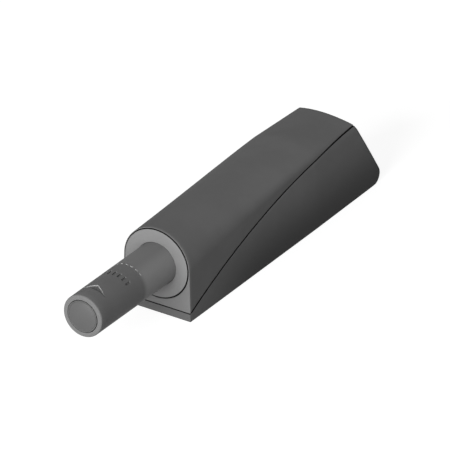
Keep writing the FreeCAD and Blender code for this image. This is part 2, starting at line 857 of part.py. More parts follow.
def engrave_row(body, name, front, rear, angle):
    """A row of short marks over the top of the pin, symmetric about the top line."""
    sketch = new_sketch(body, name + "_outline", "YZ_Plane")
    floor = "pin_radius - mark_depth"
    above = "pin_radius + mark_depth"
    draw_polygon(sketch, [(front, floor), (rear, floor), (rear, above), (front, above)])
    mark = body.newObject("PartDesign::Groove", name)
    mark.Profile = sketch
    mark.ReferenceAxis = (sketch, ["H_Axis"])
    mark.Midplane = True
    bind(mark, "Angle", angle)
    body.Tip = mark
    doc.recompute()
    for side, turned_back in (("_right", False), ("_left", True)):
        pattern = body.newObject("PartDesign::PolarPattern", name + side)
        pattern.Originals = [mark]
        pattern.Axis = (sketch, ["H_Axis"])
        pattern.Reversed = turned_back
        pattern.Occurrences = int(value("marks_each_side")) + 1
        bind(pattern, "Occurrences", "marks_each_side + 1")
        bind(pattern, "Angle", "dash_pitch * marks_each_side")
        body.Tip = pattern
        doc.recompute()


def engrave_arrow(body):
    """A shallow triangle on the top of the pin that points to the housing."""
    cutter = doc.addObject("PartDesign::Body", "arrow_cutter")
    sketch = new_sketch(cutter, "arrow_outline")
    half = "pin_radius * sin(arrow_half_angle * 1 deg)"
    draw_polygon(sketch, [
        ("0 - " + half, "tip_place + arrow_base"), (half, "tip_place + arrow_base"),
        ("0", "tip_place + arrow_base + arrow_length")])
    prism = cutter.newObject("PartDesign::Pad", "arrow_prism")
    prism.Profile = sketch
    prism.Type = "Length"
    bind(prism, "Length", "pin_radius + mark_depth")
    cutter.Tip = prism
    core = new_sketch(cutter, "arrow_core_outline", "XZ_Plane")
    draw_circle(core, "0", "0", "pin_radius - mark_depth")
    hollow = cutter.newObject("PartDesign::Pocket", "arrow_core")
    hollow.Profile = core
    hollow.Type = "Length"
    hollow.Midplane = True
    bind(hollow, "Length", "4 * pin_reach")
    cutter.Tip = hollow
    doc.recompute()
    arrow = body.newObject("PartDesign::Boolean", "arrow")
    arrow.setObjects([cutter])
    arrow.Type = "Cut"
    body.Tip = arrow


def make_magnet_cup():
    inner = "magnet_radius + cup_gap"
    return turned("magnet_cup", [
        (inner, "magnet_front"),
        ("cup_radius", "magnet_front"),
        ("cup_radius", "cup_rear"),
        ("0", "cup_rear"),
        ("0", "magnet_rear"),
        (inner, "magnet_rear"),
    ])


def make_parts():
    base, cover = make_shells()
    parts = [base, cover, make_front_collar(), make_barrel(), make_rear_plug(), make_plug_pin()]
    parts.append(make_cam_rod())
    parts.append(make_carriage())
    parts.append(make_spindle())
    parts.append(keyway(ring("stop_bumper", "spindle_radius + detent_clearance",
                             "carriage_collar_radius", "collar_rear", "bumper_rear")))
    parts.append(ring("detent_washer", "spindle_radius + detent_clearance",
                      "pin_radius - running_clearance", "detent_front", "detent_rear"))
    parts.append(ring("spring_seat", "carriage_skirt_radius + seat_clearance",
                      "spring_radius + wire_radius + running_clearance", "stop_rear", "seat_rear"))
    parts.append(make_spring())
    parts.append(make_follower())
    parts.append(make_peg())
    parts.append(ring("retaining_ring", "retainer_bore", "follower_pocket_radius",
                      "retainer_front", "retainer_front + retainer_thickness",
                      "360 - retainer_opening"))
    parts.append(make_pin_tube())
    parts.append(ring("threaded_insert", "insert_bore", "insert_radius", "insert_front", "insert_rear"))
    parts.append(ring("tip_magnet", "0", "magnet_radius", "magnet_front", "magnet_rear"))
    parts.append(make_magnet_cup())
    return parts


def write_parts(parts):
    doc.recompute()
    for item in doc.Objects:
        if "Invalid" in item.State or "Error" in item.State:
            raise RuntimeError("%s failed: %s" % (item.Name, item.State))
    for item in parts:
        if item.Shape.isNull() or not item.Shape.isValid():
            raise RuntimeError("%s has no valid shape" % item.Label)
    os.makedirs("parts", exist_ok=True)
    for item in parts:
        item.Shape.exportStep("parts/%s.step" % item.Label)
        print("%-18s %9.2f mm3  solids %d" % (item.Label, item.Shape.Volume, len(item.Shape.Solids)))


fill_sheet()
write_parts(make_parts())
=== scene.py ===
import json
import math
from collections import namedtuple

import bpy
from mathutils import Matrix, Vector

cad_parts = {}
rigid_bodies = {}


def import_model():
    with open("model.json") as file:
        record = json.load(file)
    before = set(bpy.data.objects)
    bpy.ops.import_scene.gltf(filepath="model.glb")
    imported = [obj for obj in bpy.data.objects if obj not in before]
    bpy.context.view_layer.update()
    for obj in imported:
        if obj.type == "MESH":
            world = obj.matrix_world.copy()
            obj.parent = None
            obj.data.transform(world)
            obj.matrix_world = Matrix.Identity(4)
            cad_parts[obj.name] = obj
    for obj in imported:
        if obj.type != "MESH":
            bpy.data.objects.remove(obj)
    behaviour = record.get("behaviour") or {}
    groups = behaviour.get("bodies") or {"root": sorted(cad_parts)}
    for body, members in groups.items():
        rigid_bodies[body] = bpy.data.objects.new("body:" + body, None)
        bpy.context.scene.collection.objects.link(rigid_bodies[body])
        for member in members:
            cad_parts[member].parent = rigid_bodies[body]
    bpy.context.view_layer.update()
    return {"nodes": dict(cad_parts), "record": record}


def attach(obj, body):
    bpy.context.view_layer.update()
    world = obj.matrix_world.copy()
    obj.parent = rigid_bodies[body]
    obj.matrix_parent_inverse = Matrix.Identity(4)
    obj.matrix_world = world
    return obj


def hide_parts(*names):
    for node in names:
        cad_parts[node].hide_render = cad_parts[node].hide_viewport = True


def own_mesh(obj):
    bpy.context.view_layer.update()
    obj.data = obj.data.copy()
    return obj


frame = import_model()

# Push latch with a magnetic pin, seen from the front right.
# Metres, +Z up from the mounting face, the pin points to -Y.
# Sizes and places are given in mm, places counted from the housing's front face towards the rear.

MM = 0.001
AXIS = 7.16
AXIS_HEIGHT = AXIS * MM
FRONT_FACE = -20.5 * MM

# Sections of the housing: how far out its corner reaches, the corner's radius and the height of
# its middle, the height of the roof's crown, and the lean of the side in degrees. The corner's
# middle rises to the break by the power of HEIGHT_EASE, and the foot narrows to the rear.
Section = namedtuple("Section", "half radius height roof lean")
AT_FRONT = Section(half=5.12, radius=5.06, height=AXIS, roof=12.24, lean=1.5)
AT_BREAK = Section(half=4.95, radius=1.0, height=10.20, roof=12.05, lean=4.0)
AT_REAR = Section(half=4.36, radius=1.0, height=10.12, roof=11.50, lean=4.0)
HEIGHT_EASE = 1.45
FRONT_FOOT = 5.35
REAR_FOOT = 4.64

# Sizes of the housing.
LENGTH = 46.8
BREAK = 30.0
PARTING_RUN = 39.6
PARTING_GAP = 0.12
PARTING_REAR = 10.75
PARTING_RISE = 9.65
WALL = 0.8
FRONT_WALL = 1.5
FLOOR = 1.8
TAIL_LEAN = 32.4
TAIL_ROUNDING = 1.4
DISC_ROOM = 5.0
DISC_SEAT = 0.9
BARREL_ROOM = 4.2
BARREL_STEP = 23.15
BARREL_TAIL_ROOM = 3.8
RIB_THICKNESS = 1.0
RIB_TOP = 5.4
RIB_PLACES = (5.0, 15.0, 25.0, 35.0)
RIB_SINK = 0.1
RIB_ROOM = 0.1
SADDLE_FIT = 0.03
COVER_RIBS = 2
COVER_RIB_SINK = WALL / 4
STOP_PLACE = 38.42
SCREW_PLACES = (10.5, 30.5)
SCREW_HOLE = 1.7
SCREW_HEAD = 3.0
HEAD_PAST = 0.2
PEG_RADIUS = 0.45
PEG_ACROSS = 4.2
PEG_PLACE = 0.75
PEG_FOOT = 0.55
PEG_TOP = 2.7
PEG_ROOM = 0.5
SOCKET_TOP = 2.75
LIP_INSET = 0.14
LIP_WIDTH = 0.3
LIP_HEIGHT = 0.11
LIP_FRONT = 0.26
COVER_ROUNDING = 0.04
BASE_ROUNDING = 0.06

# How far a cutter runs past what it cuts.
PAST = 1.0

# How finely pieces are made, and how often a search is repeated.
SPIN_STEPS = 96
ROD_SIDES = 64
RIB_CUTS = 7
ARROW_CUTS = 11
MERGE_DISTANCE = 0.002 * MM
BEVEL_ANGLE = 40.0
SMOOTH_ANGLE = 32.0
SPRING_SMOOTH_ANGLE = 60.0
HALVINGS = 30
APPROACHES = 4

# Sizes of the cartridge and the pin.
DISC_RADIUS = 4.92
DISC_FRONT = -0.1
DISC_REAR = 0.9
COLLAR_BORE = 3.05
COLLAR_SPIGOT = 3.48
COLLAR_REAR = 6.2
COLLAR_ROUNDING = 0.04
PIN = 3.0
PIN_FRONT = -17.2
PIN_REAR = 5.0
PIN_POCKET = 2.35
PIN_POCKET_REAR = -14.41
PIN_WEB_REAR = -12.91
PIN_BORE = 2.4
TIP_ROUNDING = 0.2
TIP_STEPS = 4
MARK_DEPTH = 0.15
MARK_PITCH = 14.7
MARKS_EACH_SIDE = 3
DASH_FRONT = -7.1
DASH_WIDTH = 0.22
DASH_ANGLE = 7.6
TICK_FRONT = -10.3
TICK_LENGTH = 1.0
TICK_ANGLE = 5.0
ARROW_BASE = -14.8
ARROW_LENGTH = 1.2
ARROW_HALF = 1.968
ARROW_PAST = 0.3
RING_GAP = 0.3
FIRST_RING = -16.0
LAST_RINGS = (-3.0, 0.0)
TIP_SHIFT = (-0.048, -0.04)
MAGNET_SHOWN = 2.07
MAGNET_FRONT = -17.19
MAGNET_REAR = -14.68
MAGNET_ROUNDING = 0.015
CUP_BORE = 2.08
CUP_RADIUS = 2.27
CUP_REAR = -14.43
CUP_CHAMFER = (0.02, 0.03)
CUP_ROUNDING = 0.01
SPRING_RADIUS = 2.78
SPRING_FRONT = 8.9
SPRING_REAR = 35.4
SPRING_TURNS = 11
WIRE = 0.25
END_GAP = 0.04

# Where the masks of the materials start and where they are full.
# The seam masks give painted shade in the parting gap.
SEAM_SPAN = (0.07, 0.11)
SEAM_WIDER = 0.07
SEAM_WIDER_SPAN = (0.1, 0.5)
WALL_SPAN = (FRONT_WALL, FRONT_WALL + 0.2)
# Painted shade round the disc, wider well below the pin axis: the seat mask on the housing, the disc mask
# on the collar's rim.
UNDER_AXIS_SPAN = (AXIS - 4.5, AXIS)
UNDER_AXIS_SHIFT = 0.05
SEAT_SPAN = (DISC_ROOM - 0.01, DISC_ROOM + 0.02)
DISC_SPAN = (DISC_RADIUS - 0.08, DISC_RADIUS - 0.04)
# Painted shade on the base towards its foot and on its front face.
FOOT_HEIGHTS = (0.5, 9.0)
FOOT_PLACES = (-4.0, 18.0)
FACE_SPAN = (0.1, 0.3)
# Painted light reflected from the disc onto the rear of the pin, stronger on its right.
BOUNCE_SPAN = (DASH_FRONT - 0.4, DASH_FRONT + 0.8)
BOUNCE_RIGHT_SPAN = (0.8, 2.6)
# Painted highlights in the dash grooves and on the triangle's slanted sides.
DASH_START = (DASH_FRONT - 0.06, DASH_FRONT - 0.01)
DASH_STOP = (DASH_FRONT + DASH_WIDTH + 0.01, DASH_FRONT + DASH_WIDTH + 0.06)
MARK_FLOOR = (PIN - 0.05, PIN - 0.01)
ARROW_START = (ARROW_BASE + 0.04, ARROW_BASE + 0.08)
ARROW_STOP = (ARROW_BASE + ARROW_LENGTH, ARROW_BASE + ARROW_LENGTH + 0.1)
ARROW_SIDES = (0.87, 0.92)

# Painted tones: the linear level of painted shade in a gap, then how many times as light as the material
# each mask of painted light or shade makes it.
GAP_SHADE_LEVEL = 0.002
FOOT_SHADE_TONE = 0.42
FACE_SHADE_TONE = 0.56
BOUNCE_LIGHT_TONE = 1.25
RIGHT_BOUNCE_TONE = 1.7
DASH_HIGHLIGHT_TONE = 4.6
ARROW_HIGHLIGHT_TONE = 2.3

# Grain of the materials: scales of noise per metre, bumps as strength and height in metres.
NOISE_MIDDLE = 0.5
PLASTIC_CLOUDS = 220.0
PLASTIC_CLOUD_SPAN = (0.35, 0.65)
PLASTIC_CLOUD_SHARE = 0.6
PLASTIC_GRAIN_SHARE = 0.4
PLASTIC_TONES = (0.95, 1.05)
PLASTIC_GRAIN_ROUGHNESS = 0.10
PLASTIC_CLOUD_ROUGHNESS = 0.06
PLASTIC_BUMP = (0.25, 0.03 * MM)
METAL_CLOUDS = 400.0
METAL_MARKS = 2500.0
METAL_TONES = (0.88, 1.1)
METAL_MARK_ROUGHNESS = 0.12
METAL_CLOUD_ROUGHNESS = 0.1
METAL_BUMP = (0.15, 0.02 * MM)
WHITE = (1, 1, 1, 1)

# Light and camera; the long lens makes the view nearly parallel.
FLOOR_SIZE = 4.0
FLOOR_SHADE = 0.30
FLOOR_LIFT = 0.86
WORLD_LEVEL = 0.29
KEY_TOWARDS = (0.07, -0.97, 0.20)
KEY_STRENGTH = 5.9
KEY_SPREAD = 36.0
KEY_DISTANCE = 0.5
LENS = 1700.0
SENSOR = 36.0
FRAME_WIDTH = 58.75 * MM
TARGET = Vector((0.0, -4.505 * MM, 5.513 * MM))
TOWARDS_CAMERA = Vector((0.487, -0.729, 0.481)).normalized()


# Shader maths

class Level:
    """A value of a material's node tree, so that sums are written as they are read."""

    def __init__(self, finish, socket):
        self.finish = finish
        self.socket = socket

    def maths(self, operation, first, second=0.0):
        node = self.finish.node("ShaderNodeMath", {"operation": operation}, {0: first, 1: second})
        return Level(self.finish, node.outputs[0])

    def size(self):
        return self.maths("ABSOLUTE", self)

    def at_most(self, most):
        return self.maths("MINIMUM", self, most)

    def __add__(self, other):
        return self.maths("ADD", self, other)

    def __radd__(self, other):
        return self.maths("ADD", other, self)

    def __sub__(self, other):
        return self.maths("SUBTRACT", self, other)

    def __rsub__(self, other):
        return self.maths("SUBTRACT", other, self)

    def __mul__(self, other):
        return self.maths("MULTIPLY", self, other)

    def __rmul__(self, other):
        return self.maths("MULTIPLY", other, self)

    def __truediv__(self, other):
        return self.maths("DIVIDE", self, other)

    def __pow__(self, other):
        return self.maths("POWER", self, other)


class Finish:
    """A material and the nodes that give it its colour, gloss and grain."""

    def __init__(self, name, holder=None):
        self.material = holder or bpy.data.materials.new(name)
        self.material.use_nodes = True
        self.tree = self.material.node_tree
        self.tree.nodes.clear()

    def node(self, kind, settings=None, sockets=None):
        """One node: its settings first, then the values or links of its sockets."""
        made = self.tree.nodes.new(kind)
        for name, setting in (settings or {}).items():
            setattr(made, name, setting)
        for name, given in (sockets or {}).items():
            if isinstance(given, Level):
                self.tree.links.new(given.socket, made.inputs[name])
            elif isinstance(given, bpy.types.NodeSocket):
                self.tree.links.new(given, made.inputs[name])
            else:
                made.inputs[name].default_value = given
        return made

    def places(self):
        """X, Y and Z of the surface, in the frame of the part."""
        spot = self.node("ShaderNodeTexCoord").outputs["Object"]
        split = self.node("ShaderNodeSeparateXYZ", {}, {0: spot})
        return [Level(self, split.outputs[axis]) for axis in range(3)]

    def noise(self, scale, detail=2.0, roughness=0.5):
        spot = self.node("ShaderNodeTexCoord").outputs["Object"]
        node = self.node("ShaderNodeTexNoise", {}, {
            "Vector": spot, "Scale": scale, "Detail": detail, "Roughness": roughness})
        return Level(self, node.outputs[0])

    def ramp(self, level, low, high):
        """0 below low, 1 above high, eased between."""
        node = self.node("ShaderNodeMapRange", {"interpolation_type": "SMOOTHSTEP"}, {
            "Value": level, "From Min": low, "From Max": high, "To Min": 0.0, "To Max": 1.0})
        return Level(self, node.outputs[0])

    def blend(self, share, first, second):
        """A colour between two others."""
        node = self.node("ShaderNodeMix", {"data_type": "RGBA"}, {"Factor": share, 6: first, 7: second})
        return node.outputs[2]

    def bump(self, height, strength, distance):
        sockets = {"Height": height, "Strength": strength, "Distance": distance}
        return self.node("ShaderNodeBump", {}, sockets).outputs[0]

    def surface(self, sockets):
        """The shader itself, joined to the output."""
        shader = self.node("ShaderNodeBsdfPrincipled", {}, sockets)
        self.node("ShaderNodeOutputMaterial", {}, {"Surface": shader.outputs[0]})
        return self.material


def grey(level):
    """A neutral colour from a linear level."""
    return level, level, level, 1.0


def reach(finish):
    """How far a spot is from the pin axis, in mm."""
    x, y, z = finish.places()
    up = z - AXIS_HEIGHT
    return (x * x + up * up) ** 0.5 / MM


def height_of(finish):
    """How high a spot is, in mm."""
    return finish.places()[2] / MM


def behind_front(finish):
    """How far a spot is behind the front face, in mm."""
    return (finish.places()[1] - FRONT_FACE) / MM


def lower_shade_shift(finish):
    """How much wider the painted shade round the disc is on each side well below the pin axis, in mm."""
    return UNDER_AXIS_SHIFT * (1 - finish.ramp(height_of(finish), *UNDER_AXIS_SPAN))


def moulded_plastic(name, level, roughness, grain, gloss, shaded=None, painted_tones=None):
    """Matt moulded plastic with the fine grain of a spark-eroded mould.

    Shaded gives a mask of painted shade in gaps, the last argument the masks and tones of painted light
    and shade."""
    finish = Finish(name)
    fine = finish.noise(grain, detail=3.0, roughness=0.6)
    clouds = finish.noise(PLASTIC_CLOUDS)
    cloudy = finish.ramp(clouds, *PLASTIC_CLOUD_SPAN)
    share = cloudy * PLASTIC_CLOUD_SHARE + fine * PLASTIC_GRAIN_SHARE
    colour = finish.blend(share, *[grey(level * tone) for tone in PLASTIC_TONES])
    # Painted light and shade from the given masks.
    if painted_tones:
        for mask, tone in painted_tones(finish):
            colour = finish.blend(mask, colour, grey(level * tone))
    # Painted shade in the gaps.
    if shaded:
        colour = finish.blend(shaded(finish), colour, grey(GAP_SHADE_LEVEL))
    uneven = PLASTIC_GRAIN_ROUGHNESS * (fine - NOISE_MIDDLE)
    return finish.surface({
        "Base Color": colour,
        "Roughness": roughness + uneven + PLASTIC_CLOUD_ROUGHNESS * (clouds - NOISE_MIDDLE),
        "Specular IOR Level": gloss,
        "Normal": finish.bump(fine, *PLASTIC_BUMP),
    })


def housing_gap_shade(finish):
    """Painted shade inside the parting line and round the disc."""
    place = behind_front(finish)
    left = 1 - (place / PARTING_RUN).at_most(1.0)
    line = PARTING_REAR - PARTING_RISE * left * left + PARTING_GAP / 2
    wider = SEAM_WIDER * left * finish.ramp(place, *SEAM_WIDER_SPAN)
    seam = 1 - finish.ramp((height_of(finish) - line).size() - wider, *SEAM_SPAN)
    near = 1 - finish.ramp(place, *WALL_SPAN)
    disc = near * (1 - finish.ramp(reach(finish) - lower_shade_shift(finish), *SEAT_SPAN))
    return (seam + disc).at_most(1.0)


def base_painted_shade(finish):
    """Painted shade on the base, darker towards the surface that it is screwed to, and on its front face.
    """
    place = behind_front(finish)
    foot = (1 - finish.ramp(height_of(finish), *FOOT_HEIGHTS)) * finish.ramp(place, *FOOT_PLACES)
    face = 1 - finish.ramp(place, *FACE_SPAN)
    return (foot, FOOT_SHADE_TONE), (face, FACE_SHADE_TONE)


def disc_gap_shade(finish):
    # Painted shade on the disc's rim, in the gap round it.
    return finish.ramp(reach(finish) + lower_shade_shift(finish), *DISC_SPAN)


def pin_painted_light(finish):
    """Painted light reflected from the disc onto the rear half of the pin, stronger on its right, then
    painted highlights in its dashes and on the triangle's slanted sides.
    """
    x = finish.places()[0] / MM
    place = behind_front(finish)
    disc_bounce = finish.ramp(place, *BOUNCE_SPAN)
    right = finish.ramp(x, *BOUNCE_RIGHT_SPAN)
    # Painted highlight in the dash grooves.
    dash_highlight = finish.ramp(place, *DASH_START) * (1 - finish.ramp(place, *DASH_STOP))
    deep = 1 - finish.ramp(reach(finish), *MARK_FLOOR)
    # Across and along add up to 1 on the two slanted sides of the triangle.
    across = (x / ARROW_HALF).size()
    along = (place - ARROW_BASE) / ARROW_LENGTH
    inside = finish.ramp(place, *ARROW_START) * (1 - finish.ramp(place, *ARROW_STOP))
    # Painted highlight on the triangle's slanted sides, which face the lamp.
    sides = finish.ramp(across + along, *ARROW_SIDES)
    return (
        (disc_bounce, BOUNCE_LIGHT_TONE),
        (disc_bounce * right, RIGHT_BOUNCE_TONE),
        (dash_highlight * deep, DASH_HIGHLIGHT_TONE),
        (inside * sides * deep, ARROW_HIGHLIGHT_TONE),
    )


def turned_metal(name, level, roughness, metal=1.0):
    """Metal with fine tool marks and a slightly uneven plating."""
    finish = Finish(name)
    marks = finish.noise(METAL_MARKS)
    clouds = finish.noise(METAL_CLOUDS)
    uneven = METAL_MARK_ROUGHNESS * (marks - NOISE_MIDDLE)
    return finish.surface({
        "Base Color": finish.blend(clouds, *[grey(level * tone) for tone in METAL_TONES]),
        "Metallic": metal,
        "Roughness": roughness + uneven + METAL_CLOUD_ROUGHNESS * (clouds - NOISE_MIDDLE),
        "Normal": finish.bump(marks, *METAL_BUMP),
    })


COVER = moulded_plastic("cover_anthracite", level=0.136, roughness=0.75, grain=7000.0, gloss=0.07,
                        shaded=housing_gap_shade)
# Base and cover are one plastic; the base's level is set apart from the cover's to go with its painted
# shade.
BASE = moulded_plastic("base_anthracite", level=0.154, roughness=0.75, grain=7000.0, gloss=0.07,
                       shaded=housing_gap_shade, painted_tones=base_painted_shade)
CARTRIDGE = moulded_plastic("cartridge_grey", level=0.140, roughness=0.55, grain=9000.0, gloss=0.25)
COLLAR = moulded_plastic("collar_grey", level=0.150, roughness=0.55, grain=9000.0, gloss=0.25,
                         shaded=disc_gap_shade)
PIN_GREY = moulded_plastic("pin_grey", level=0.138, roughness=0.62, grain=9000.0, gloss=0.1,
                           painted_tones=pin_painted_light)
TRACK = moulded_plastic("cam_rod_acetal", level=0.55, roughness=0.42, grain=6000.0, gloss=0.5)
RUBBER = moulded_plastic("bumper_rubber", level=0.02, roughness=0.8, grain=5000.0, gloss=0.2)
STEEL = turned_metal("zinc_plated_steel", level=0.55, roughness=0.34)
SPRING = turned_metal("spring_wire", level=0.5, roughness=0.3)
MAGNET = turned_metal("magnet_plating", level=0.074, roughness=0.5, metal=0.25)
CUP = turned_metal("cup_plating", level=0.074, roughness=0.5, metal=0.25)

FINISHES = {
    "base_shell": BASE,
    "cover_shell": COVER,
    "front_collar": COLLAR,
    "cartridge_barrel": CARTRIDGE,
    "rear_plug": CARTRIDGE,
    "plug_pin": STEEL,
    "cam_rod": TRACK,
    "carriage": CARTRIDGE,
    "carriage_spindle": STEEL,
    "stop_bumper": RUBBER,
    "detent_washer": SPRING,
    "spring_seat": STEEL,
    "ejector_spring": SPRING,
    "follower_ring": TRACK,
    "follower_peg": STEEL,
    "retaining_ring": SPRING,
    "pin_tube": PIN_GREY,
    "threaded_insert": STEEL,
    "tip_magnet": MAGNET,
    "magnet_cup": CUP,
}


# Pieces

def nothing_selected():
    for item in bpy.context.view_layer.objects:
        item.select_set(False)


def only(piece):
    nothing_selected()
    piece.select_set(True)
    bpy.context.view_layer.objects.active = piece


def wear(piece, material):
    """One material all over the piece."""
    piece.data.materials.clear()
    piece.data.materials.append(material)
    for face in piece.data.polygons:
        face.material_index = 0


def body_of_node(node):
    for body, members in frame["record"]["behaviour"]["bodies"].items():
        if node in members:
            return body


# Form of the housing

def blend(start, end, share):
    return start + (end - start) * share


def between(first, second, share):
    return tuple(blend(a, b, share) for a, b in zip(first, second))


def form_at(place):
    """The half section of the housing at one place behind its front face, in mm."""
    if place <= BREAK:
        share = max(place, 0.0) / BREAK
        eased = (1 - share) ** 2
        half = blend(AT_FRONT.half, AT_BREAK.half, share)
        radius = blend(AT_BREAK.radius, AT_FRONT.radius, eased)
        height = blend(AT_BREAK.height, AT_FRONT.height, (1 - share) ** HEIGHT_EASE)
        roof = blend(AT_BREAK.roof, AT_FRONT.roof, eased)
        lean = blend(AT_FRONT.lean, AT_BREAK.lean, share)
    else:
        share = (place - BREAK) / (LENGTH - BREAK)
        half, radius, height, roof, lean = between(AT_BREAK, AT_REAR, share)
    foot = blend(FRONT_FOOT, REAR_FOOT, place / LENGTH)
    return half, foot, radius, height, roof, math.radians(lean)


class Outline:
    """Right half of one section: a bulging side, a rounded corner and a crowned roof."""

    def __init__(self, place, inset, floor):
        half, foot, full_radius, self.corner_z, roof, self.lean = form_at(place)
        self.radius = full_radius - inset
        self.corner_x = half - full_radius
        self.top = roof - inset
        rise = self.top - self.corner_z
        self.roof_radius = (self.corner_x ** 2 + rise ** 2 - self.radius ** 2) / (2 * (rise - self.radius))
        self.roof_turn = math.atan2(self.corner_x, self.corner_z - (self.top - self.roof_radius))
        self.foot = (foot - inset, floor)
        self.side_top = self.on_corner(self.lean)
        self.lengths = (
            math.hypot(self.side_top[0] - self.foot[0], self.side_top[1] - self.foot[1]),
            self.radius * (math.pi / 2 - self.roof_turn - self.lean),
            self.roof_radius * self.roof_turn,
        )

    def on_corner(self, turn):
        return self.corner_x + self.radius * math.cos(turn), self.corner_z + self.radius * math.sin(turn)

    def on_side(self, share):
        chord_x = self.foot[0] - self.side_top[0]
        chord_z = self.side_top[1] - self.foot[1]
        chord = math.hypot(chord_x, chord_z)
        slant = math.atan2(chord_x, chord_z)
        bulge = chord * math.tan((self.lean - slant) / 2) * 2 * share * (1 - share)
        return (
            blend(self.foot[0], self.side_top[0], share) + bulge * math.cos(slant),
            blend(self.foot[1], self.side_top[1], share) + bulge * math.sin(slant),
        )

    def at(self, length):
        """The spot at a length along the outline, from the foot to the crown."""
        side, corner, roof = self.lengths
        if length <= side:
            return self.on_side(length / side)
        if length <= side + corner:
            return self.on_corner(self.lean + (length - side) / self.radius)
        turn = self.roof_turn * (1 - (length - side - corner) / roof)
        return self.roof_radius * math.sin(turn), self.top - self.roof_radius * (1 - math.cos(turn))

    def length_at(self, height):
        """How far along the outline a height is reached."""
        low, high = 0.0, sum(self.lengths)
        if height >= self.top:
            return high
        for halving in range(HALVINGS):
            middle = (low + high) / 2
            if self.at(middle)[1] < height:
                low = middle
            else:
                high = middle
        return low


def parting(place):
    """Height of the parting line."""
    share = min(max(place, 0.0) / PARTING_RUN, 1.0)
    return PARTING_REAR - PARTING_RISE * (1 - share) ** 2


def tail_at(height, inset):
    """How far back the tail reaches at a height, with its rounded lower edge."""
    lean = math.radians(TAIL_LEAN)
    floor = FLOOR if inset else 0.0
    foot = LENGTH - inset / math.cos(lean) - floor * math.tan(lean)
    radius = max(TAIL_ROUNDING - inset, WALL / 2)
    run = radius / math.tan((math.pi / 2 - lean) / 2)
    up = height - floor
    if up >= run * math.cos(lean):
        return foot - up * math.tan(lean)
    across = max(radius ** 2 - (up - radius) ** 2, 0.0)
    return foot - run + math.sqrt(across)


# Pieces made from shaped grids

def fresh(name):
    """The piece that an operator has just added, under its own name."""
    piece = bpy.context.object
    piece.name = name
    piece.data.name = name
    return piece


def shaped_grid(across, along, spot):
    """A grid whose every point is moved to its spot, given as x, place and z in mm."""
    nothing_selected()
    bpy.ops.mesh.primitive_grid_add(x_subdivisions=across, y_subdivisions=along, size=1.0)
    piece = bpy.context.object
    for vertex in piece.data.vertices:
        x, place, z = spot(round(vertex.co.x + 0.5, 6), round(vertex.co.y + 0.5, 6))
        vertex.co = (x * MM, FRONT_FACE + place * MM, z * MM)
    return piece


def edit(piece, *steps):
    """Runs mesh operators on the whole piece in edit mode."""
    only(piece)
    bpy.ops.object.mode_set(mode="EDIT")
    bpy.ops.mesh.select_mode(type="VERT")
    bpy.ops.mesh.select_all(action="SELECT")
    for step in steps:
        step()
    bpy.ops.object.mode_set(mode="OBJECT")


def merge():
    bpy.ops.mesh.remove_doubles(threshold=MERGE_DISTANCE)


def loosen():
    """Takes away the line that a turned piece leaves on its axis."""
    bpy.ops.mesh.select_all(action="SELECT")
    bpy.ops.mesh.delete_loose(use_verts=True, use_edges=True, use_faces=False)


def clean():
    bpy.ops.mesh.select_all(action="SELECT")
    bpy.ops.mesh.dissolve_degenerate(threshold=MERGE_DISTANCE)
    bpy.ops.mesh.select_all(action="SELECT")
    bpy.ops.mesh.normals_make_consistent(inside=False)


def close_openings():
    bpy.ops.mesh.select_all(action="DESELECT")
    bpy.ops.mesh.select_non_manifold(extend=False)
    bpy.ops.mesh.edge_face_add()


def fill():
    bpy.ops.mesh.select_all(action="SELECT")
    bpy.ops.mesh.fill_holes(sides=0)


def spun(name, corners):
    """A piece turned on the pin axis from a closed outline of radii and places, in mm."""
    nothing_selected()
    bpy.ops.mesh.primitive_circle_add(vertices=len(corners), radius=1.0)
    piece = fresh(name)
    for vertex, (radius, place) in zip(piece.data.vertices, corners):
        vertex.co = (radius * MM, FRONT_FACE + place * MM, AXIS_HEIGHT)

    def turn():
        bpy.ops.mesh.spin(
            steps=SPIN_STEPS, angle=2 * math.pi, center=(0, 0, AXIS_HEIGHT), axis=(0, 1, 0))
    edit(piece, turn, merge, clean, loosen)
    return piece


def block(spot, cuts=0):
    """A cube, cut up if asked, whose points go to their spots; spot takes -1 to 1 three times."""
    nothing_selected()
    bpy.ops.mesh.primitive_cube_add(size=2.0)
    piece = bpy.context.object
    if cuts:
        edit(piece, lambda: bpy.ops.mesh.subdivide(number_cuts=cuts))
    for vertex in piece.data.vertices:
        x, place, z = spot(*[round(part, 6) for part in vertex.co])
        vertex.co = (x * MM, FRONT_FACE + place * MM, z * MM)
    return piece


def rod(radius, start, end, turned=False, head=None):
    """A round bar between two spots on one line, along the pin or standing upright."""
    nothing_selected()
    middle = [blend(a, b, 0.5) for a, b in zip(start, end)]
    long = math.dist(start, end)
    bpy.ops.mesh.primitive_cone_add(
        vertices=ROD_SIDES, radius1=radius * MM, radius2=(head or radius) * MM, depth=long * MM,
        location=(middle[0] * MM, FRONT_FACE + middle[1] * MM, middle[2] * MM),
        rotation=(-math.pi / 2 if turned else 0, 0, 0))
    bpy.ops.object.transform_apply(location=True, rotation=True, scale=True)
    return bpy.context.object


def joined(name, items):
    nothing_selected()
    for item in items:
        item.select_set(True)
    bpy.context.view_layer.objects.active = items[0]
    bpy.ops.object.join()
    piece = fresh(name)
    edit(piece, merge, clean)
    return piece


def apply_modifier(piece, kind, **settings):
    only(piece)
    modifier = piece.modifiers.new(kind.lower(), kind)
    for name, setting in settings.items():
        setattr(modifier, name, setting)
    bpy.ops.object.modifier_apply(modifier=modifier.name)


def rounded(piece, width):
    apply_modifier(piece, "BEVEL", width=width * MM, segments=2, limit_method="ANGLE",
                   angle_limit=math.radians(BEVEL_ANGLE), use_clamp_overlap=False, harden_normals=False)


def combined(piece, other, operation):
    apply_modifier(piece, "BOOLEAN", operation=operation, object=other, solver="EXACT")
    bpy.data.objects.remove(other)


